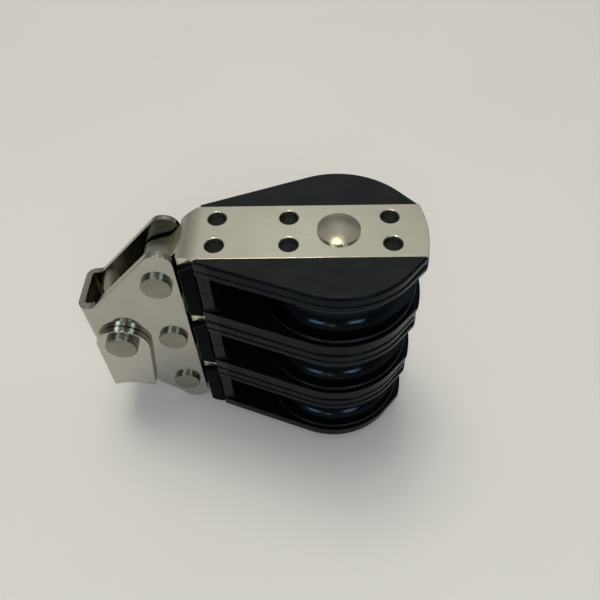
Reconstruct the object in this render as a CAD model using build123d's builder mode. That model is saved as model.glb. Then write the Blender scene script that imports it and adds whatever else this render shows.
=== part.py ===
"""Triple ball-bearing sailboat block with a fixed head, modelled lying on its side.

The origin is the centre of the mounting hole, on the outer face of the head's end web.
+X points from the head towards the tails of the cheeks, +Z is along the sheaves' axle, and up.
Every length is in millimetres. The three bodies are numbered from the top down.
"""
import os
from math import acos, atan2, cos, hypot, pi, radians, sin, sqrt, tan

from build123d import *

os.makedirs("parts", exist_ok=True)

# Layout
body_count = 3
body_pitch = 16.0
pin_reach = 6.3
rivet_reach = 16.1
neck_length = 7.6

# Clearances
seat_gap = 0.03
running_gap = 0.05
side_gap = 0.12
stop_gap = 0.1
sheave_side_gap = 0.35
neck_gap = 0.45

# Sheaves, races and balls
groove_depth = 4.3
groove_floor = 3.5
flange_tip = 0.8
flange_edge_radius = 0.3
sheave_recess_depth = 0.5
sheave_rim_width = 2.2
sheave_hub_wall = 1.6
ball_radius = 1.2
ball_count = 12
ball_ring_radius = 6.0
ball_ring_wall = 0.7
race_gap = 0.7

# Cheeks
cheek_cover = 0.25
cheek_thickness = 3.0
cheek_head_length = 24.0
cheek_head_width = 13.7
cheek_edge_radius = 0.6
cheek_tail_wall = 0.15
cheek_tail_radius = 0.7
lip_height = 0.8
lip_proud = 0.22
post_thickness = 2.2
post_edge_radius = 0.5
post_end_radius = 0.18
gusset_radius = 0.9

# Straps
strap_sheet = 1.2
strap_width = 12.3
strap_shoulder_width = 9.3
strap_neck_width = 6.2
strap_taper_start = 0.25
strap_taper_radius = 1.5
strap_shoulder_radius = 0.5
strap_neck_radius = 0.35
strap_tail_proud = 0.25
strap_tail_arch = 0.9
strap_fall_slope = 50.0
strap_run_slope = 19.0
strap_bend_overlap = 0.65
strap_bend_radius = 6.0
strap_bend_fill = 0.9
strap_elbow_radius = 1.5
strap_edge_radius = 0.15
strap_hole_radius = 1.6
strap_hole_row = 3.12
strap_hole_columns = (-20.7, -8.4, 8.8)
strap_hole_edge = 0.2

# Spacers between the legs of the straps
spacer_length = 2.8
spacer_side_gap = 0.05
spacer_corner_radius = 0.4

# Axle rivet
axle_radius = 2.4
axle_head_radius = 3.65
axle_head_height = 1.15
axle_head_edge = 0.4

# Head bracket
head_sheet = 1.25
head_width = 9.9
head_top_margin = 7.45
head_flat_length = 3.944
head_web_half_height = 9.6
head_web_depth = 3.0
head_end_margin = 3.85
head_corner_radius = 2.6
head_knee_radius = 2.0
head_bend_radius = 1.9
head_edge_radius = 0.25
mount_hole_radius = 4.05

# Cross rivets
cross_rivet_radius = 2.0
cross_head_radius = 2.75
cross_head_height = 0.9
cross_head_edge = 0.2

# Shackle and its pin
pin_radius = 2.0
pin_head_radius = 3.1
pin_head_height = 1.4
pin_tail_height = 1.0
pin_head_edge = 0.35
shackle_sheet = 1.2
shackle_eye_radius = 5.15
shackle_eye_drop = 1.2
shackle_foot_width = 8.6
shackle_foot_radius = 1.2
shackle_foot_bite = 12.0
shackle_reach = 17.5
shackle_arch = 1.2
shackle_bend_radius = 1.6
shackle_edge_radius = 0.2

# Sizes worked out from those above
body_half = body_pitch / 2
stack_half = body_pitch * body_count / 2
body_levels = [stack_half - body_half - body_pitch * k for k in range(body_count)]
cheek_head_x = rivet_reach + neck_length
axle_reach = cheek_head_x + cheek_head_length
bore_radius = ball_ring_radius + ball_ring_wall
race_radius = ball_ring_radius - race_gap
groove_root_radius = bore_radius + groove_floor
sheave_radius = groove_root_radius + groove_depth
cheek_radius = sheave_radius + cheek_cover
cheek_inner = body_half - cheek_thickness
sheave_half = cheek_inner - sheave_side_gap
ball_seat_radius = ball_radius + running_gap
tail_reach = cheek_radius + strap_tail_proud
tail_half = strap_width / 2 + cheek_tail_wall
tail_radius = (tail_half**2 + strap_tail_arch**2) / (2 * strap_tail_arch)
strap_loop_radius = cross_rivet_radius + seat_gap + strap_sheet
head_inner = head_width / 2 - head_sheet
head_end_x = rivet_reach + head_end_margin
head_apex_x = head_end_x - head_flat_length
head_half_height = body_levels[0] + head_top_margin
shackle_inner = head_width / 2 + side_gap
shackle_half = shackle_inner + shackle_sheet
shackle_foot = shackle_foot_width / 2
bow_radius = (shackle_foot**2 + shackle_arch**2) / (2 * shackle_arch)
bow_centre = shackle_reach - shackle_arch + bow_radius
bow_inner_radius = bow_radius + shackle_sheet

# Through cuts reach past every face of the block
cut_reach = stack_half + cheek_radius

# The shackle's lean from straight down, where its bow rests on the bracket's lower slope
slope = atan2(head_half_height - head_web_half_height, head_apex_x - head_web_depth)
slope_distance = (pin_reach - head_web_depth) * sin(slope) + head_web_half_height * cos(slope)
bow_corner_drop = bow_centre - sqrt(bow_inner_radius**2 - shackle_foot**2)
bow_corner_reach = hypot(shackle_foot, bow_corner_drop)
bow_corner_turn = atan2(shackle_foot, bow_corner_drop)
shackle_lean = slope - acos((slope_distance + stop_gap) / bow_corner_reach) + bow_corner_turn


def on_circle(radius, angle):
    """The point of a circle round the origin at an angle in radians."""
    return (radius * cos(angle), radius * sin(angle))


def cheek_outline(margin):
    """The flat teardrop of a cheek, grown by a margin: tangent sides, a round tail and a squared end."""
    radius = cheek_radius + margin
    head_corner = (-cheek_head_length, cheek_head_width / 2 + margin)
    end_corner = (tail_reach - strap_tail_arch + margin, tail_half + margin)
    touch = atan2(head_corner[1], head_corner[0]) - acos(radius / hypot(*head_corner))
    leave = atan2(end_corner[1], end_corner[0]) + acos(radius / hypot(*end_corner))
    with BuildSketch() as outline:
        with BuildLine():
            Line(head_corner, on_circle(radius, touch))
            ThreePointArc(on_circle(radius, touch), on_circle(radius, (touch + leave) / 2),
                          on_circle(radius, leave))
            Line(on_circle(radius, leave), end_corner)
            mirror(about=Plane.XZ)
            Line(head_corner, (head_corner[0], -head_corner[1]))
            ThreePointArc(end_corner, (tail_reach + margin, 0), (end_corner[0], -end_corner[1]))
        make_face()
        fillet(outline.vertices().group_by(Axis.X)[-1], radius=cheek_tail_radius)
    return Pos(axle_reach, 0) * outline.sketch


def strap_plan():
    """The strap seen from above: an arched tail end, straight sides, a taper, shoulders and a narrow neck."""
    tail_y = strap_width / 2
    tail_x = axle_reach + tail_reach - tail_radius + sqrt(tail_radius**2 - tail_y**2)
    taper_x = cheek_head_x - strap_taper_start
    shoulder_x = head_end_x + neck_gap
    shoulder_y = strap_shoulder_width / 2
    neck_y = strap_neck_width / 2
    tip_x = rivet_reach - strap_loop_radius - strap_sheet
    with BuildSketch() as plan:
        with BuildLine():
            Polyline((tail_x, tail_y), (taper_x, tail_y), (shoulder_x, shoulder_y), (shoulder_x, neck_y),
                     (tip_x, neck_y))
            mirror(about=Plane.XZ)
            Line((tip_x, neck_y), (tip_x, -neck_y))
            ThreePointArc((tail_x, tail_y), (axle_reach + tail_reach, 0), (tail_x, -tail_y))
        make_face()
        fillet(plan.vertices().group_by(Axis.X)[-2], radius=strap_taper_radius)
        shoulders = plan.vertices().group_by(Axis.X)[1].group_by(Axis.Y)
        fillet(shoulders[1] + shoulders[-2], radius=strap_neck_radius)
        shoulders = plan.vertices().group_by(Axis.X)[2].group_by(Axis.Y)
        fillet(shoulders[0] + shoulders[-1], radius=strap_shoulder_radius)
    return plan.sketch


def strap_silhouette(inset):
    """The hairpin of a strap seen from the side, shrunk by inset, about its own mid level."""
    fall = radians(strap_fall_slope)
    run = radians(strap_run_slope)
    tail_x = axle_reach + tail_reach + 2 * strap_sheet
    touch_x = rivet_reach - strap_loop_radius * sin(run)
    touch_z = strap_loop_radius * cos(run)
    bend_x = cheek_head_x + strap_bend_overlap
    run_below = body_half - touch_z - (bend_x - touch_x) * tan(run)
    leg_slant = sin(fall) - tan(run) * cos(fall)
    elbow_length = strap_elbow_radius * tan((fall - run) / 2)
    bend_room = (run_below - elbow_length * leg_slant) / (leg_slant - tan(run)) / tan(fall / 2)
    bend_radius = min(strap_bend_radius, strap_bend_fill * bend_room)
    crest_x = bend_x - bend_radius * tan(fall / 2)
    elbow_x = crest_x - (run_below + (bend_x - crest_x) * tan(run)) / (tan(fall) - tan(run))
    elbow_z = touch_z + (elbow_x - touch_x) * tan(run)
    with BuildSketch() as hairpin:
        with BuildLine():
            FilletPolyline((tail_x, body_half), (crest_x, body_half), (elbow_x, elbow_z), (touch_x, touch_z),
                           radius=[bend_radius, strap_elbow_radius])
            mirror(about=Plane.XZ)
            ThreePointArc((touch_x, touch_z), (rivet_reach - strap_loop_radius, 0), (touch_x, -touch_z))
            Line((tail_x, body_half), (tail_x, -body_half))
        make_face()
        if inset:
            offset(amount=-inset, mode=Mode.REPLACE)
    return hairpin.sketch


def head_plate_outline():
    """One side of the head bracket: a low web end that slopes out to the full stack height."""
    with BuildSketch() as outline:
        with BuildLine():
            Polyline((0, 0), (0, head_web_half_height), (head_web_depth, head_web_half_height),
                     (head_apex_x, head_half_height), (head_end_x, head_half_height),
                     (head_end_x, 0), close=True)
        make_face()
        mirror(about=Plane.XZ)
        knees = outline.vertices().group_by(Axis.X)[1]
        fillet(knees, radius=head_knee_radius)
        corners = outline.vertices().group_by(Axis.Y)[-1] + outline.vertices().group_by(Axis.Y)[0]
        fillet(corners, radius=head_corner_radius)
    return outline.sketch


def rivet_profile(radius, near_face, far_face, head_radius, near_height, far_height, edge):
    """Half the section of a headed rivet along Y, from its near head to its far head."""
    with BuildSketch() as section:
        with Locations((radius / 2, (near_face + far_face) / 2)):
            Rectangle(radius, far_face - near_face)
        with Locations((head_radius / 2, near_face - near_height / 2)):
            Rectangle(head_radius, near_height)
        with Locations((head_radius / 2, far_face + far_height / 2)):
            Rectangle(head_radius, far_height)
        rims = section.vertices().group_by(Axis.X)[-1]
        ends = rims.group_by(Axis.Y)[0] + rims.group_by(Axis.Y)[-1]
        fillet(ends, radius=edge)
    return section.sketch


def shackle_outline():
    """A leg of the shackle, hanging straight down from its eye, with an arched foot."""
    foot_y = -shackle_reach
    foot_depth = shackle_reach - shackle_eye_drop
    touch = acos(shackle_eye_radius / hypot(shackle_foot, foot_depth)) - atan2(foot_depth, shackle_foot)
    touch_x, touch_rise = on_circle(shackle_eye_radius, touch)
    touch_y = touch_rise - shackle_eye_drop
    with BuildSketch() as outline:
        with BuildLine():
            ThreePointArc((-touch_x, touch_y), (0, shackle_eye_radius - shackle_eye_drop), (touch_x, touch_y))
            Line((touch_x, touch_y), (shackle_foot, foot_y))
            ThreePointArc((shackle_foot, foot_y), (0, foot_y + shackle_arch), (-shackle_foot, foot_y))
            Line((-shackle_foot, foot_y), (-touch_x, touch_y))
        make_face()
    return outline.sketch


def shackle_foot_cuts():
    """What rounding takes off the two corners of the shackle's foot."""
    bow_turn = atan2(shackle_foot, bow_radius - shackle_arch)
    half_corner = (pi / 2 - bow_turn) / 2
    setback = shackle_foot_radius * cos(radians(shackle_foot_bite)) / sin(half_corner)
    centre_x = shackle_foot - setback * sin(half_corner)
    centre_y = setback * cos(half_corner) - shackle_reach
    reach = 2 * shackle_foot_radius
    below_bow = (centre_x - reach * sin(bow_turn), centre_y - reach * cos(bow_turn))
    past_corner = (shackle_foot + shackle_foot_radius, -shackle_reach - shackle_foot_radius)
    with BuildSketch() as cuts:
        with BuildLine():
            Polyline((centre_x, centre_y), (centre_x + reach, centre_y), past_corner, below_bow, close=True)
        make_face()
        with Locations((centre_x, centre_y)):
            Circle(shackle_foot_radius, mode=Mode.SUBTRACT)
        mirror(about=Plane.YZ)
    return cuts.sketch


# Cheeks: two mirrored mouldings a body, each with half of the wall that closes the head end
for number, level in enumerate(body_levels, 1):
    with BuildPart() as cheek_upper:
        with BuildSketch(Plane.XY.offset(level + cheek_inner)):
            add(cheek_outline(0))
        extrude(amount=cheek_thickness)
        outer_face = cheek_upper.faces().sort_by(Axis.Z)[-1]
        fillet(outer_face.edges(), radius=cheek_edge_radius)
        with BuildSketch(Plane.XY.offset(level + cheek_inner)):
            add(cheek_outline(lip_proud))
        extrude(amount=lip_height)
        with BuildSketch(Plane.XY.offset(level)) as post:
            with Locations((cheek_head_x + post_thickness / 2, 0)):
                Rectangle(post_thickness, cheek_head_width)
            fillet(post.vertices().group_by(Axis.X)[0], radius=post_edge_radius)
        extrude(amount=cheek_inner)
        inner_corner = cheek_upper.edges().filter_by(Axis.Y).filter_by_position(
            Axis.Z, level + cheek_inner - seat_gap, level + cheek_inner + seat_gap)
        fillet(inner_corner.sort_by(Axis.X)[-1], radius=gusset_radius)
        post_end = cheek_upper.faces().sort_by(Axis.Z)[0]
        fillet(post_end.edges(), radius=post_end_radius)
        with BuildSketch(Plane.XY.offset(level + body_half)):
            with Locations((axle_reach, 0)):
                Rectangle(2 * cut_reach, strap_width + 2 * seat_gap)
        extrude(amount=-strap_sheet, mode=Mode.SUBTRACT)
        slot_end = cheek_upper.edges().filter_by(Axis.Y).filter_by_position(
            Axis.Z, level + body_half - strap_sheet - seat_gap, level + body_half - strap_sheet + seat_gap)
        fillet(slot_end.sort_by(Axis.X)[0], radius=strap_bend_overlap + strap_edge_radius)
        with BuildSketch(Plane.XY.offset(level)):
            with Locations((axle_reach, 0)):
                Circle(axle_radius + seat_gap)
        extrude(amount=body_pitch, mode=Mode.SUBTRACT)
    cheek_upper.part.label = f"cheek_upper_{number}"
    export_step(cheek_upper.part, f"parts/cheek_upper_{number}.step")

    with BuildPart() as cheek_lower:
        mirror(cheek_upper.part, about=Plane.XY.offset(level))
    cheek_lower.part.label = f"cheek_lower_{number}"
    export_step(cheek_lower.part, f"parts/cheek_lower_{number}.step")

# Sheaves: a deep round groove between thin flanges, and a raceway in the bore
for number, level in enumerate(body_levels, 1):
    axle_plane = Plane(origin=(axle_reach, 0, level), x_dir=(1, 0, 0), z_dir=(0, -1, 0))
    mouth = sheave_half - flange_tip
    with BuildPart() as sheave:
        with BuildSketch(axle_plane) as section:
            with Locations(((bore_radius + sheave_radius) / 2, 0)):
                Rectangle(sheave_radius - bore_radius, 2 * sheave_half)
            with BuildLine():
                ThreePointArc((sheave_radius, mouth), (groove_root_radius, 0), (sheave_radius, -mouth))
                Line((sheave_radius, -mouth), (sheave_radius, mouth))
            make_face(mode=Mode.SUBTRACT)
            fillet(section.vertices().group_by(Axis.X)[-1], radius=flange_edge_radius)
            with Locations((ball_ring_radius, 0)):
                Circle(ball_seat_radius, mode=Mode.SUBTRACT)
            recess_inner = bore_radius + sheave_hub_wall
            recess_outer = sheave_radius - sheave_rim_width
            for side in (1, -1):
                with Locations(((recess_inner + recess_outer) / 2, side * sheave_half)):
                    Rectangle(recess_outer - recess_inner, 2 * sheave_recess_depth, mode=Mode.SUBTRACT)
        revolve(axis=Axis((axle_reach, 0, level), (0, 0, 1)))
    sheave.part.label = f"sheave_{number}"
    export_step(sheave.part, f"parts/sheave_{number}.step")

    # Inner race, clamped between the cheeks
    with BuildPart() as race:
        with BuildSketch(axle_plane):
            race_wall = race_radius - axle_radius - seat_gap
            with Locations((race_radius - race_wall / 2, 0)):
                Rectangle(race_wall, 2 * cheek_inner)
            with Locations((ball_ring_radius, 0)):
                Circle(ball_seat_radius, mode=Mode.SUBTRACT)
        revolve(axis=Axis((axle_reach, 0, level), (0, 0, 1)))
    race.part.label = f"race_{number}"
    export_step(race.part, f"parts/race_{number}.step")

    # Balls, in the raceway between the race and the sheave
    with BuildPart() as balls:
        with Locations((axle_reach, 0, level)):
            with PolarLocations(ball_ring_radius, ball_count):
                Sphere(ball_radius)
    balls.part.label = f"balls_{number}"
    export_step(balls.part, f"parts/balls_{number}.step")

# Straps: one folded hairpin a body, let into both cheeks and wrapped round its cross rivet
for number, level in enumerate(body_levels, 1):
    with BuildPart() as strap:
        with BuildSketch(Plane.XZ):
            add(strap_silhouette(0))
        extrude(amount=strap_width, both=True)
        with BuildSketch():
            add(strap_plan())
        extrude(amount=cut_reach, both=True, mode=Mode.INTERSECT)
        flat_faces = strap.faces().filter_by(Axis.Z).sort_by(Axis.Z)
        flat_edges = flat_faces[0].edges() + flat_faces[-1].edges()
        fillet(flat_edges.filter_by(Axis.Y, reverse=True), radius=strap_edge_radius)
        with BuildSketch(Plane.XZ):
            add(strap_silhouette(strap_sheet))
        extrude(amount=strap_width, both=True, mode=Mode.SUBTRACT)
        with BuildSketch():
            for column in strap_hole_columns:
                with Locations((axle_reach + column, strap_hole_row), (axle_reach + column, -strap_hole_row)):
                    Circle(strap_hole_radius)
            with Locations((axle_reach, 0)):
                Circle(axle_radius + seat_gap)
        extrude(amount=cut_reach, both=True, mode=Mode.SUBTRACT)
        outer_faces = strap.faces().filter_by(Axis.Z).sort_by(Axis.Z)
        rims = outer_faces[0].edges() + outer_faces[-1].edges()
        hole_rims = rims.filter_by(GeomType.CIRCLE).filter_by(lambda rim: rim.radius < axle_radius)
        fillet(hole_rims, radius=strap_hole_edge)
    strap.part.position = (0, 0, level)
    strap.part.label = f"strap_{number}"
    export_step(strap.part, f"parts/strap_{number}.step")

    # Moulded spacer between the strap's legs, from behind the cross rivet to the cheeks
    with BuildPart() as spacer:
        with BuildSketch(Plane.XZ):
            add(strap_silhouette(strap_sheet + seat_gap))
            with Locations((rivet_reach, 0)):
                Circle(cross_rivet_radius + seat_gap, mode=Mode.SUBTRACT)
        extrude(amount=cheek_head_width, both=True)
        with BuildSketch() as spacer_plan:
            spacer_end_x = cheek_head_x - seat_gap
            tongue_start_x = rivet_reach + cross_rivet_radius / 2
            with Locations((spacer_end_x - spacer_length / 2, 0)):
                Rectangle(spacer_length, cheek_head_width - 2 * spacer_side_gap)
            fillet(spacer_plan.vertices(), radius=spacer_corner_radius)
            with Locations(((tongue_start_x + spacer_end_x) / 2, 0)):
                Rectangle(spacer_end_x - tongue_start_x, strap_neck_width - 2 * spacer_side_gap)
        extrude(amount=cut_reach, both=True, mode=Mode.INTERSECT)
    spacer.part.position = (0, 0, level)
    spacer.part.label = f"spacer_{number}"
    export_step(spacer.part, f"parts/spacer_{number}.step")

    # Cross rivet through the head bracket and the strap's loop
    with BuildPart() as cross_rivet:
        with BuildSketch():
            add(rivet_profile(cross_rivet_radius, -head_width / 2, head_width / 2, cross_head_radius,
                              cross_head_height, cross_head_height, cross_head_edge))
        revolve(axis=Axis.Y)
    cross_rivet.part.position = (rivet_reach, 0, level)
    cross_rivet.part.label = f"cross_rivet_{number}"
    export_step(cross_rivet.part, f"parts/cross_rivet_{number}.step")

# Axle rivet, with a low domed head on each outer strap
with BuildPart() as axle_rivet:
    dome_height = axle_head_height - axle_head_edge
    dome_radius = (axle_head_radius**2 + dome_height**2) / (2 * dome_height)
    with BuildSketch(Plane(origin=(axle_reach, 0, 0), x_dir=(1, 0, 0), z_dir=(0, -1, 0))) as section:
        with BuildLine():
            rim_level = stack_half + axle_head_edge
            crown_level = stack_half + axle_head_height
            centre_level = crown_level - dome_radius
            middle_x = axle_head_radius / 2
            dome_middle = (middle_x, centre_level + sqrt(dome_radius**2 - middle_x**2))
            Polyline((0, 0), (axle_radius, 0), (axle_radius, stack_half), (axle_head_radius, stack_half),
                     (axle_head_radius, rim_level))
            ThreePointArc((axle_head_radius, rim_level), dome_middle, (0, crown_level))
            Line((0, crown_level), (0, 0))
        make_face()
        mirror(about=Plane.XZ)
    revolve(axis=Axis((axle_reach, 0, 0), (0, 0, 1)))
axle_rivet.part.label = "axle_rivet"
export_step(axle_rivet.part, "parts/axle_rivet.step")

# Head bracket: one folded sheet, a web with the mounting hole and two shaped sides
with BuildPart() as head_bracket:
    with BuildSketch(Plane.XZ):
        add(head_plate_outline())
    extrude(amount=head_width / 2, both=True)
    bend_edges = head_bracket.edges().filter_by(Axis.Z).group_by(Axis.X)[0]
    fillet(bend_edges, radius=head_bend_radius)
    outer_edges = head_bracket.edges().filter_by(Axis.Z).group_by(Axis.X)[-1]
    fillet(outer_edges, radius=head_edge_radius)
    with BuildSketch() as channel:
        with Locations((head_sheet + head_end_x, 0)):
            Rectangle(2 * head_end_x, 2 * head_inner)
        fillet(channel.vertices().group_by(Axis.X)[0], radius=head_bend_radius - head_sheet)
    extrude(amount=cut_reach, both=True, mode=Mode.SUBTRACT)
    with BuildSketch(Plane.YZ):
        Circle(mount_hole_radius)
    extrude(amount=head_web_depth, mode=Mode.SUBTRACT)
    with BuildSketch(Plane.XZ):
        for level in body_levels:
            with Locations((rivet_reach, level)):
                Circle(cross_rivet_radius + seat_gap)
        with Locations((pin_reach, 0)):
            Circle(pin_radius + seat_gap)
    extrude(amount=cut_reach, both=True, mode=Mode.SUBTRACT)
head_bracket.part.label = "head_bracket"
export_step(head_bracket.part, "parts/head_bracket.step")

# Shackle: a folded strip whose arched bow rests on the bracket's lower slope
lean_x_dir = (cos(shackle_lean), 0, -sin(shackle_lean))
shackle_plane = Plane(origin=(pin_reach, 0, 0), x_dir=lean_x_dir, z_dir=(0, -1, 0))
with BuildPart() as shackle:
    with BuildSketch(shackle_plane):
        add(shackle_outline())
    extrude(amount=shackle_half, both=True)
    bow_face = shackle.faces().filter_by(GeomType.CYLINDER).sort_by(Axis.Z)[0]
    fillet(bow_face.edges().filter_by(GeomType.CIRCLE), radius=shackle_bend_radius)
    leg_faces = shackle.faces().filter_by(Axis.Y).sort_by(Axis.Y)
    leg_edges = leg_faces[0].edges() + leg_faces[-1].edges()
    fillet(leg_edges.filter_by(GeomType.LINE), radius=shackle_edge_radius)
    with BuildSketch(shackle_plane):
        Rectangle(2 * shackle_reach, 2 * shackle_reach)
        with Locations((0, -bow_centre)):
            Circle(bow_inner_radius, mode=Mode.SUBTRACT)
    extrude(amount=shackle_inner, both=True, mode=Mode.SUBTRACT)
    with BuildSketch(shackle_plane):
        add(shackle_foot_cuts())
    extrude(amount=cut_reach, both=True, mode=Mode.SUBTRACT)
    with BuildSketch(Plane.XZ):
        with Locations((pin_reach, 0)):
            Circle(pin_radius + running_gap)
    extrude(amount=cut_reach, both=True, mode=Mode.SUBTRACT)
shackle.part.label = "shackle"
export_step(shackle.part, "parts/shackle.step")

# Shackle pin, headed on the near side and peened over on the far side
with BuildPart() as shackle_pin:
    with BuildSketch():
        pin_half = shackle_half + running_gap
        add(rivet_profile(pin_radius, -pin_half, pin_half, pin_head_radius,
                          pin_head_height, pin_tail_height, pin_head_edge))
    revolve(axis=Axis.Y)
shackle_pin.part.position = (pin_reach, 0, 0)
shackle_pin.part.label = "shackle_pin"
export_step(shackle_pin.part, "parts/shackle_pin.step")
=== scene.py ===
"""Looks for a triple sailboat block: materials, floor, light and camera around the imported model."""
import math

import bpy
from mathutils import Matrix, Vector


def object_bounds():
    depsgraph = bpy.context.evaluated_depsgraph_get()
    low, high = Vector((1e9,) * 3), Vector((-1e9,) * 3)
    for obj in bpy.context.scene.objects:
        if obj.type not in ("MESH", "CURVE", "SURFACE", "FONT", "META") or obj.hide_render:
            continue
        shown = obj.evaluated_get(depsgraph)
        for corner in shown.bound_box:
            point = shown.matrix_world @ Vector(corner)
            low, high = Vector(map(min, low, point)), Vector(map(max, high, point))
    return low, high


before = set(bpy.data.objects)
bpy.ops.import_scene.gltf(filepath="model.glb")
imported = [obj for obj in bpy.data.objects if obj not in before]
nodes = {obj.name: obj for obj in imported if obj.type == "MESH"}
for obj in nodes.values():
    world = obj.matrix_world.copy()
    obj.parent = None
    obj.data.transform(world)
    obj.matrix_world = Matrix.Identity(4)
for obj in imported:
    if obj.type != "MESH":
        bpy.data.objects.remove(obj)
cad_box = [list(corner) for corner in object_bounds()]


# Places on the block, in millimetres. Each pair is where a look begins and where it is full.

HALF_PITCH = 8.0  # half the distance between two bodies
CHEEK_FACE = (5.5, 6.5)  # height over the middle of a body
POST_END = (26.3, 25.9)  # along the block, where the posts of the head wall end, with their painted light
FOLD_INSIDE = (3.95, 3.75)  # across, inside the legs of the bracket's fold, where painted shade darkens it
WEB_INSIDE = (0.5, 0.7)  # along, behind the outer face of the bracket's end web, where painted shade darkens the fold
STRAP_NECK = (21.5, 17.5)  # along, where the strap dips into the bracket and is darkened as painted shade

EDGE_RADIUS = 0.00022  # metres, the width of the painted edge highlights of the plastic
MIDDLE_X = 0.03  # metres, the middle of the block along its length
WHITE = (1.0, 1.0, 1.0)


# Node material helpers

def new_material(name):
    """An empty node material with its shader; returns the material, its node tree and the shader."""
    material = bpy.data.materials.new(name)
    material.use_nodes = True
    tree = material.node_tree
    shader = tree.nodes["Principled BSDF"]
    return material, tree, shader


def add_node(tree, kind, **values):
    """A node of that kind, with its properties and its inputs set by name."""
    node = tree.nodes.new(kind)
    for name, value in values.items():
        if hasattr(node, name):
            setattr(node, name, value)
        else:
            node.inputs[name.replace("_", " ")].default_value = value
    return node


def object_coordinates(tree, scale=(1, 1, 1)):
    """Object coordinates in metres, stretched so that a texture runs along one axis."""
    source = tree.nodes.new("ShaderNodeTexCoord")
    mapping = add_node(tree, "ShaderNodeMapping", Scale=scale)
    tree.links.new(source.outputs["Object"], mapping.inputs["Vector"])
    return mapping.outputs["Vector"]


def place_along(tree, axis):
    """The surface's place along one axis, in millimetres."""
    parts = tree.nodes.new("ShaderNodeSeparateXYZ")
    tree.links.new(object_coordinates(tree, (1000, 1000, 1000)), parts.inputs["Vector"])
    return parts.outputs[axis]


def noise(tree, vector, scale, detail=3.0, roughness=0.55):
    """Noise as a grey value."""
    node = add_node(tree, "ShaderNodeTexNoise", Scale=scale, Detail=detail, Roughness=roughness)
    tree.links.new(vector, node.inputs["Vector"])
    return node.outputs["Fac"]


def span(tree, value, low, high, start=0.3, end=0.7):
    """A grey value stretched from start and end to low and high."""
    node = add_node(tree, "ShaderNodeMapRange", From_Min=start, From_Max=end, To_Min=low, To_Max=high)
    tree.links.new(value, node.inputs["Value"])
    return node.outputs["Result"]


def calculate(tree, operation, first, second):
    """A grey value worked out from two others, of which the second may be a number."""
    node = add_node(tree, "ShaderNodeMath", operation=operation)
    tree.links.new(first, node.inputs[0])
    if isinstance(second, (int, float)):
        node.inputs[1].default_value = second
    else:
        tree.links.new(second, node.inputs[1])
    return node.outputs[0]


def size_of(tree, value):
    """A grey value without its sign."""
    return calculate(tree, "ABSOLUTE", value, 0.0)


def blend_colours(tree, value, first, second):
    """One colour at 0, the other at 1; each is three numbers or another colour."""
    node = add_node(tree, "ShaderNodeMix", data_type="RGBA")
    for socket, colour in ((node.inputs[6], first), (node.inputs[7], second)):
        if isinstance(colour, tuple):
            socket.default_value = (*colour, 1)
        else:
            tree.links.new(colour, socket)
    tree.links.new(value, node.inputs[0])
    return node.outputs[2]


def blend_values(tree, value, first, second):
    """One grey value at 0, the other at 1."""
    node = tree.nodes.new("ShaderNodeMix")
    for socket, part in ((node.inputs[0], value), (node.inputs[2], first), (node.inputs[3], second)):
        tree.links.new(part, socket)
    return node.outputs[0]


def scaled(tree, colour, factor):
    """A colour made lighter or darker by a grey value."""
    node = add_node(tree, "ShaderNodeVectorMath", operation="SCALE")
    tree.links.new(colour, node.inputs[0])
    tree.links.new(factor, node.inputs["Scale"])
    return node.outputs[0]


def multiplied(tree, first, second):
    """Two colours multiplied part by part."""
    node = add_node(tree, "ShaderNodeVectorMath", operation="MULTIPLY")
    tree.links.new(first, node.inputs[0])
    tree.links.new(second, node.inputs[1])
    return node.outputs[0]


def bump(tree, height, strength, distance, below=None):
    """A bump from a height, on top of another bump where one is given."""
    node = add_node(tree, "ShaderNodeBump", Strength=strength, Distance=distance)
    tree.links.new(height, node.inputs["Height"])
    if below is not None:
        tree.links.new(below, node.inputs["Normal"])
    return node.outputs["Normal"]


def scratches(tree, scale, stretch):
    """Thin broken scratches as a grey value: 1 on a scratch, 0 beside it."""
    line = noise(tree, object_coordinates(tree, stretch), scale, detail=2.0)
    ridge = size_of(tree, calculate(tree, "SUBTRACT", line, 0.5))
    crease = span(tree, ridge, low=1.0, high=0.0, start=0.0, end=0.010)
    patches = noise(tree, object_coordinates(tree), scale=420.0, detail=2.0)
    broken = span(tree, patches, low=0.0, high=1.0, start=0.52, end=0.66)
    return calculate(tree, "MULTIPLY", crease, broken)


def normal_part(tree, axis):
    """How far the surface faces along one axis, either way."""
    geometry = tree.nodes.new("ShaderNodeNewGeometry")
    parts = tree.nodes.new("ShaderNodeSeparateXYZ")
    tree.links.new(geometry.outputs["True Normal"], parts.inputs["Vector"])
    return size_of(tree, parts.outputs[axis])


def edge_highlight_mask(tree):
    """1 on edges and corners, 0 on flat faces."""
    rounded = add_node(tree, "ShaderNodeBevel", samples=6, Radius=EDGE_RADIUS)
    geometry = tree.nodes.new("ShaderNodeNewGeometry")
    likeness = add_node(tree, "ShaderNodeVectorMath", operation="DOT_PRODUCT")
    tree.links.new(rounded.outputs["Normal"], likeness.inputs[0])
    tree.links.new(geometry.outputs["True Normal"], likeness.inputs[1])
    return span(tree, likeness.outputs["Value"], low=1.0, high=0.0, start=0.86, end=0.99)


def fading_in(tree, value, limits):
    """0 where a look begins, 1 where it is full, from the pair of places."""
    begins, full = limits
    if begins < full:
        return span(tree, value, 0.0, 1.0, begins, full)
    return span(tree, value, 1.0, 0.0, full, begins)


# Plastic and steel

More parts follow.
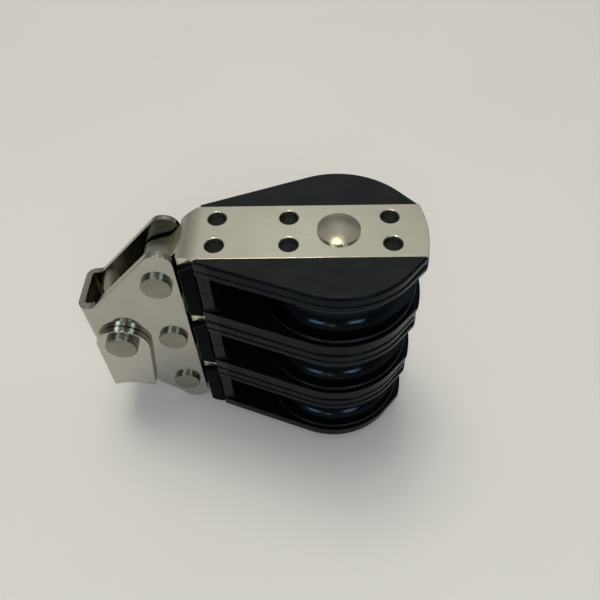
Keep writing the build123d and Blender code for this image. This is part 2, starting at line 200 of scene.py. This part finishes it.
def plastic(name, deep, face_painted_light, edge_highlight, side_roughness, face_roughness, grain_scale, grain_depth, index,
            tint=WHITE, post_painted_light=None):
    """Moulded plastic: polished sides, satin outer faces given a lighter colour as painted light, edges
    lightened as painted highlights, fine grain, handling scratches, and painted light on the posts' upright
    faces where given.
    """
    material, tree, shader = new_material(name)
    vector = object_coordinates(tree)
    height = calculate(tree, "PINGPONG", size_of(tree, place_along(tree, "Z")), HALF_PITCH)
    level = span(tree, normal_part(tree, "Z"), low=0.0, high=1.0, start=0.80, end=0.98)
    flat = calculate(tree, "MULTIPLY", level, fading_in(tree, height, CHEEK_FACE))
    scuff = calculate(tree, "MULTIPLY", scratches(tree, 160.0, (1.0, 3.0, 2.0)), flat)

    mottle = span(tree, noise(tree, vector, scale=260.0), low=0.85, high=1.25)
    patchy = span(tree, noise(tree, vector, scale=900.0, detail=2.0), low=0.45, high=1.0)
    # Painted light: the outer faces get a lighter colour than the sides.
    shade = scaled(tree, blend_colours(tree, flat, deep, face_painted_light), mottle)
    # Painted highlight: edges and corners get a lighter, bluish colour, in patches.
    shade = blend_colours(tree, calculate(tree, "MULTIPLY", edge_highlight_mask(tree), patchy), shade, edge_highlight)
    shade = blend_colours(tree, calculate(tree, "MULTIPLY", scuff, 0.18), shade, (0.03, 0.03, 0.029))
    # Painted light: the upright faces of the posts at the head end are made lighter.
    if post_painted_light is not None:
        upright = span(tree, normal_part(tree, "Y"), low=0.0, high=1.0, start=0.6, end=0.9)
        post = calculate(tree, "MULTIPLY", fading_in(tree, place_along(tree, "X"), POST_END), upright)
        faded = span(tree, noise(tree, vector, scale=420.0), low=0.7, high=1.0)
        shade = blend_colours(tree, calculate(tree, "MULTIPLY", post, faded), shade, post_painted_light)
    tree.links.new(shade, shader.inputs["Base Color"])

    sheen = noise(tree, vector, scale=700.0, detail=4.0)
    side_sheen = span(tree, sheen, *side_roughness)
    face_sheen = span(tree, sheen, *face_roughness)
    sheen_map = blend_values(tree, flat, side_sheen, face_sheen)
    sheen_map = calculate(tree, "ADD", sheen_map, calculate(tree, "MULTIPLY", scuff, 0.10))
    tree.links.new(sheen_map, shader.inputs["Roughness"])

    grain = noise(tree, vector, grain_scale, detail=2.0)
    tree.links.new(bump(tree, grain, 0.35, grain_depth), shader.inputs["Normal"])
    shader.inputs["IOR"].default_value = index
    shader.inputs["Specular Tint"].default_value = (*tint, 1)
    return material


def steel(name, colour, cloud_colour, roughness, brush, brush_depth, dent_scale, dent_depth,
          scratch_stretch=(1.0, 1.0, 1.0), dull_or_shaded=None):
    """Stainless steel: brushing, clouded sheen, faint dents, fine scratches, and dull places, some of them
    painted shade.
    """
    material, tree, shader = new_material(name)
    shader.inputs["Metallic"].default_value = 1.0
    vector = object_coordinates(tree)
    streak = noise(tree, object_coordinates(tree, brush), scale=1.0, detail=4.0, roughness=0.7)
    cloud = span(tree, noise(tree, vector, scale=180.0), low=0.0, high=1.0)
    scuff = scratches(tree, 220.0, scratch_stretch)

    shade = blend_colours(tree, cloud, colour, cloud_colour)
    sheen_map = span(tree, streak, *roughness)
    sheen_map = calculate(tree, "ADD", sheen_map, calculate(tree, "MULTIPLY", scuff, 0.04))
    if dull_or_shaded is not None:
        place, keep, extra_roughness = dull_or_shaded(tree)
        shade = multiplied(tree, shade, blend_colours(tree, place, WHITE, keep))
        sheen_map = calculate(tree, "ADD", sheen_map, calculate(tree, "MULTIPLY", place, extra_roughness))
    tree.links.new(shade, shader.inputs["Base Color"])
    tree.links.new(sheen_map, shader.inputs["Roughness"])

    normal = bump(tree, streak, 0.5, brush_depth)
    normal = bump(tree, noise(tree, vector, dent_scale, detail=2.0), 0.5, dent_depth, normal)
    tree.links.new(normal, shader.inputs["Normal"])
    return material


# Dull places and painted shade: where they are, how much of each colour is kept there, and the roughness
# added

def bracket_cut_edges_and_fold_shade(tree):
    """The bracket's cut edges, duller steel, and painted shade darkening the inside of its fold."""
    cut_edge = span(tree, normal_part(tree, "Z"), low=0.0, high=0.75, start=0.25, end=0.45)
    # Painted shade: the inside of the fold is darkened.
    inside_legs = fading_in(tree, size_of(tree, place_along(tree, "Y")), FOLD_INSIDE)
    inside_web = fading_in(tree, place_along(tree, "X"), WEB_INSIDE)
    inside = calculate(tree, "MULTIPLY", inside_legs, inside_web)
    return calculate(tree, "MAXIMUM", cut_edge, inside), (0.66, 0.645, 0.595), 0.07


def shackle_dull(tree):
    """The shackle's cut edges."""
    cut_edge = span(tree, normal_part(tree, "Y"), low=1.0, high=0.0, start=0.4, end=0.8)
    return cut_edge, (0.76, 0.735, 0.64), 0.12


def strap_neck_shade(tree):
    """Painted shade on the strap's neck, where it dips into the bracket."""
    return fading_in(tree, place_along(tree, "X"), STRAP_NECK), (0.72, 0.72, 0.72), 0.06


# Materials

# A lighter bluish black for the plastics' edges: painted highlight.
PAINTED_EDGE_HIGHLIGHT = (0.036, 0.042, 0.050)
# A blue tint on the plastics' reflections, standing in for bluish room light: painted colour of light.
BLUE_REFLECTION_TINT = (0.62, 0.82, 1.0)
POLISH = {
    "roughness": (0.06, 0.13),
    "brush": (900, 900, 160),
    "brush_depth": 0.000004,
    "dent_scale": 90.0,
    "dent_depth": 0.00003,
    "scratch_stretch": (3.0, 3.0, 0.5),
}

cheek_look = plastic(
    "cheek_black", deep=(0.0018, 0.0026, 0.0036), face_painted_light=(0.0128, 0.0143, 0.0128), edge_highlight=PAINTED_EDGE_HIGHLIGHT,
    side_roughness=(0.13, 0.20), face_roughness=(0.26, 0.36), grain_scale=9000.0, grain_depth=0.00002,
    index=1.17, tint=BLUE_REFLECTION_TINT, post_painted_light=(0.018, 0.0190, 0.0195))
sheave_look = plastic(
    "sheave_black", deep=(0.0008, 0.0011, 0.0015), face_painted_light=(0.0030, 0.0034, 0.0038), edge_highlight=PAINTED_EDGE_HIGHLIGHT,
    side_roughness=(0.15, 0.22), face_roughness=(0.18, 0.26), grain_scale=3000.0, grain_depth=0.00001,
    index=1.30, tint=BLUE_REFLECTION_TINT)
# Darker than the cheeks as painted shade, for the spacer's place deep under the strap.
spacer_shaded_look = plastic(
    "spacer_black_painted_shade", deep=(0.0006, 0.0008, 0.0010), face_painted_light=(0.004, 0.004, 0.0045), edge_highlight=PAINTED_EDGE_HIGHLIGHT,
    side_roughness=(0.16, 0.24), face_roughness=(0.22, 0.32), grain_scale=5000.0, grain_depth=0.00002,
    index=1.10, tint=BLUE_REFLECTION_TINT)
bearing_look = plastic(
    "bearing_white", deep=(0.62, 0.61, 0.57), face_painted_light=(0.66, 0.65, 0.61), edge_highlight=(0.70, 0.69, 0.66),
    side_roughness=(0.25, 0.35), face_roughness=(0.25, 0.35), grain_scale=4000.0, grain_depth=0.00001,
    index=1.5)
strap_look = steel(
    "strap_brushed", colour=(0.68, 0.655, 0.515), cloud_colour=(0.62, 0.595, 0.465),
    roughness=(0.18, 0.28), brush=(120, 3200, 900), brush_depth=0.00001,
    dent_scale=90.0, dent_depth=0.00003, scratch_stretch=(0.3, 4.0, 4.0), dull_or_shaded=strap_neck_shade)
bracket_look = steel(
    "bracket_polished", colour=(0.45, 0.438, 0.396), cloud_colour=(0.41, 0.399, 0.357),
    dull_or_shaded=bracket_cut_edges_and_fold_shade, **POLISH)
shackle_look = steel(
    "shackle_polished", colour=(0.50, 0.487, 0.44), cloud_colour=(0.46, 0.448, 0.40),
    dull_or_shaded=shackle_dull, **POLISH)
rivet_look = steel(
    "rivet_satin", colour=(0.285, 0.276, 0.226), cloud_colour=(0.225, 0.216, 0.176),
    roughness=(0.25, 0.36), brush=(900, 900, 900), brush_depth=0.00002,
    dent_scale=620.0, dent_depth=0.00005)
axle_look = steel(
    "axle_satin", colour=(0.46, 0.44, 0.345), cloud_colour=(0.36, 0.345, 0.265),
    roughness=(0.20, 0.32), brush=(700, 700, 700), brush_depth=0.00002,
    dent_scale=420.0, dent_depth=0.00006)

LOOKS = {
    "cheek": cheek_look,
    "sheave": sheave_look,
    "spacer": spacer_shaded_look,
    "race": bearing_look,
    "balls": bearing_look,
    "strap": strap_look,
    "head_bracket": bracket_look,
    "shackle": shackle_look,
    "shackle_pin": rivet_look,
    "cross_rivet": rivet_look,
    "axle_rivet": axle_look,
}


def look_of(node_name):
    """The material whose key is the longest start of the node's name."""
    keys = [key for key in LOOKS if node_name.startswith(key)]
    return LOOKS[max(keys, key=len)]


for node_name, node in nodes.items():
    material = look_of(node_name)
    if not node.material_slots:
        node.data.materials.append(material)
    for slot in node.material_slots:
        slot.material = material


# Floor

lowest = cad_box[0][2]
bpy.ops.mesh.primitive_plane_add(size=6.0, location=(MIDDLE_X, 0.0, lowest))
floor = bpy.context.object
floor.name = "floor"
floor_material, floor_tree, floor_shader = new_material("floor_paper")
floor_noise = noise(floor_tree, object_coordinates(floor_tree), scale=14.0)
floor_tone = span(floor_tree, floor_noise, low=0.0, high=1.0)
floor_colour = blend_colours(floor_tree, floor_tone, (0.692, 0.664, 0.622), (0.712, 0.684, 0.642))
floor_tree.links.new(floor_colour, floor_shader.inputs["Base Color"])
floor_shader.inputs["Roughness"].default_value = 0.62
floor.data.materials.append(floor_material)


# Light

def area_lamp(name, place, size, power, colour):
    """An oblong lamp at a place, facing the block."""
    data = bpy.data.lights.new(name, "AREA")
    data.shape = "RECTANGLE"
    data.size, data.size_y = size
    data.energy = power
    data.color = colour
    lamp = bpy.data.objects.new(name, data)
    bpy.context.scene.collection.objects.link(lamp)
    lamp.location = place
    to_block = Vector((MIDDLE_X, 0.0, 0.0)) - Vector(place)
    lamp.rotation_euler = to_block.to_track_quat("-Z", "Y").to_euler()
    return lamp


# These two light the surfaces softly and show in no reflection
key = area_lamp("key", (-0.04, 0.22, 0.80), (0.34, 0.34), 3.1, (1.0, 0.96, 0.85))
fill = area_lamp("fill", (0.10, -0.60, 0.62), (0.70, 0.50), 2.8, (0.80, 0.92, 1.0))
for soft_lamp in (key, fill):
    soft_lamp.visible_glossy = False

# These are small windows that only show as highlights in glossy surfaces
WINDOW_BLUE = (0.60, 0.79, 1.0)
ceiling = area_lamp("ceiling", (0.0, 0.02, 0.80), (0.11, 0.11), 1.0, (1.0, 0.93, 0.72))
front_warm = area_lamp("front_warm", (0.0, -0.34, 0.43), (0.035, 0.05), 0.06, (1.0, 0.94, 0.78))
front_left = area_lamp("front_left", (-0.18, -0.34, 0.42), (0.15, 0.06), 0.42, WINDOW_BLUE)
front_right = area_lamp("front_right", (0.26, -0.36, 0.34), (0.15, 0.06), 0.42, WINDOW_BLUE)
for window in (ceiling, front_warm, front_left, front_right):
    window.visible_diffuse = False

world = bpy.data.worlds.new("room")
bpy.context.scene.world = world
world.use_nodes = True
room_tree = world.node_tree
room = room_tree.nodes["Background"]
direction = room_tree.nodes.new("ShaderNodeTexCoord")
axes = room_tree.nodes.new("ShaderNodeSeparateXYZ")
room_tree.links.new(direction.outputs["Generated"], axes.inputs["Vector"])
ROOM_TINT = (0.985, 0.99, 1.0)

# Brightness from the horizon, at 0, to straight up, at 1
BACK_TONES = ((0.0, 0.50), (0.12, 0.46), (0.25, 0.29), (0.35, 0.30), (0.58, 0.44), (0.70, 0.64),
              (1.0, 0.66))
FRONT_TONES = ((0.0, 0.50), (0.12, 0.46), (0.26, 0.18), (0.60, 0.11), (0.82, 0.16), (0.94, 0.50),
               (1.0, 0.66))


def room_tones(tones):
    """The colour of the room by height, from pairs of a height and a brightness."""
    ramp = room_tree.nodes.new("ShaderNodeValToRGB")
    room_tree.links.new(axes.outputs["Z"], ramp.inputs["Fac"])
    while len(ramp.color_ramp.elements) < len(tones):
        ramp.color_ramp.elements.new(0.5)
    for stop, (place, tone) in zip(ramp.color_ramp.elements, tones):
        stop.position = place
        stop.color = (*(tone * part for part in ROOM_TINT), 1)
    return ramp.outputs["Color"]


# The back of the room is darker to both sides, and gives way to the darker front
back_tones = room_tones(BACK_TONES)
in_front = room_tones(FRONT_TONES)
aside = calculate(room_tree, "MULTIPLY", axes.outputs["X"], axes.outputs["X"])
behind = scaled(room_tree, back_tones, span(room_tree, aside, low=1.14, high=0.80, start=0.0, end=0.05))
side = span(room_tree, axes.outputs["Y"], low=0.0, high=1.0, start=-0.35, end=0.25)
room_tree.links.new(blend_colours(room_tree, side, in_front, behind), room.inputs["Color"])


# Camera at the photograph's viewing angle

DOWN_ANGLE = math.radians(52.207)
TURN_ANGLE = math.radians(-1.257)
ROLL_ANGLE = math.radians(-1.630)
CAMERA_PLACE = (0.042371, -0.069022, 0.094044)
camera_data = bpy.data.cameras.new("camera")
camera_data.sensor_width = 36.0
camera_data.lens = 34.98
camera_data.clip_start = 0.005
camera = bpy.data.objects.new("camera", camera_data)
bpy.context.scene.collection.objects.link(camera)
turn = Matrix.Rotation(TURN_ANGLE, 3, "Z").transposed()
tilt = Matrix.Rotation(math.radians(90) - DOWN_ANGLE, 3, "X")
roll = Matrix.Rotation(ROLL_ANGLE, 3, "Z")
camera.matrix_world = Matrix.Translation(CAMERA_PLACE) @ (turn @ tilt @ roll).to_4x4()
bpy.context.scene.camera = camera

bpy.context.scene.view_settings.view_transform = "Standard"

bpy.context.view_layer.update()
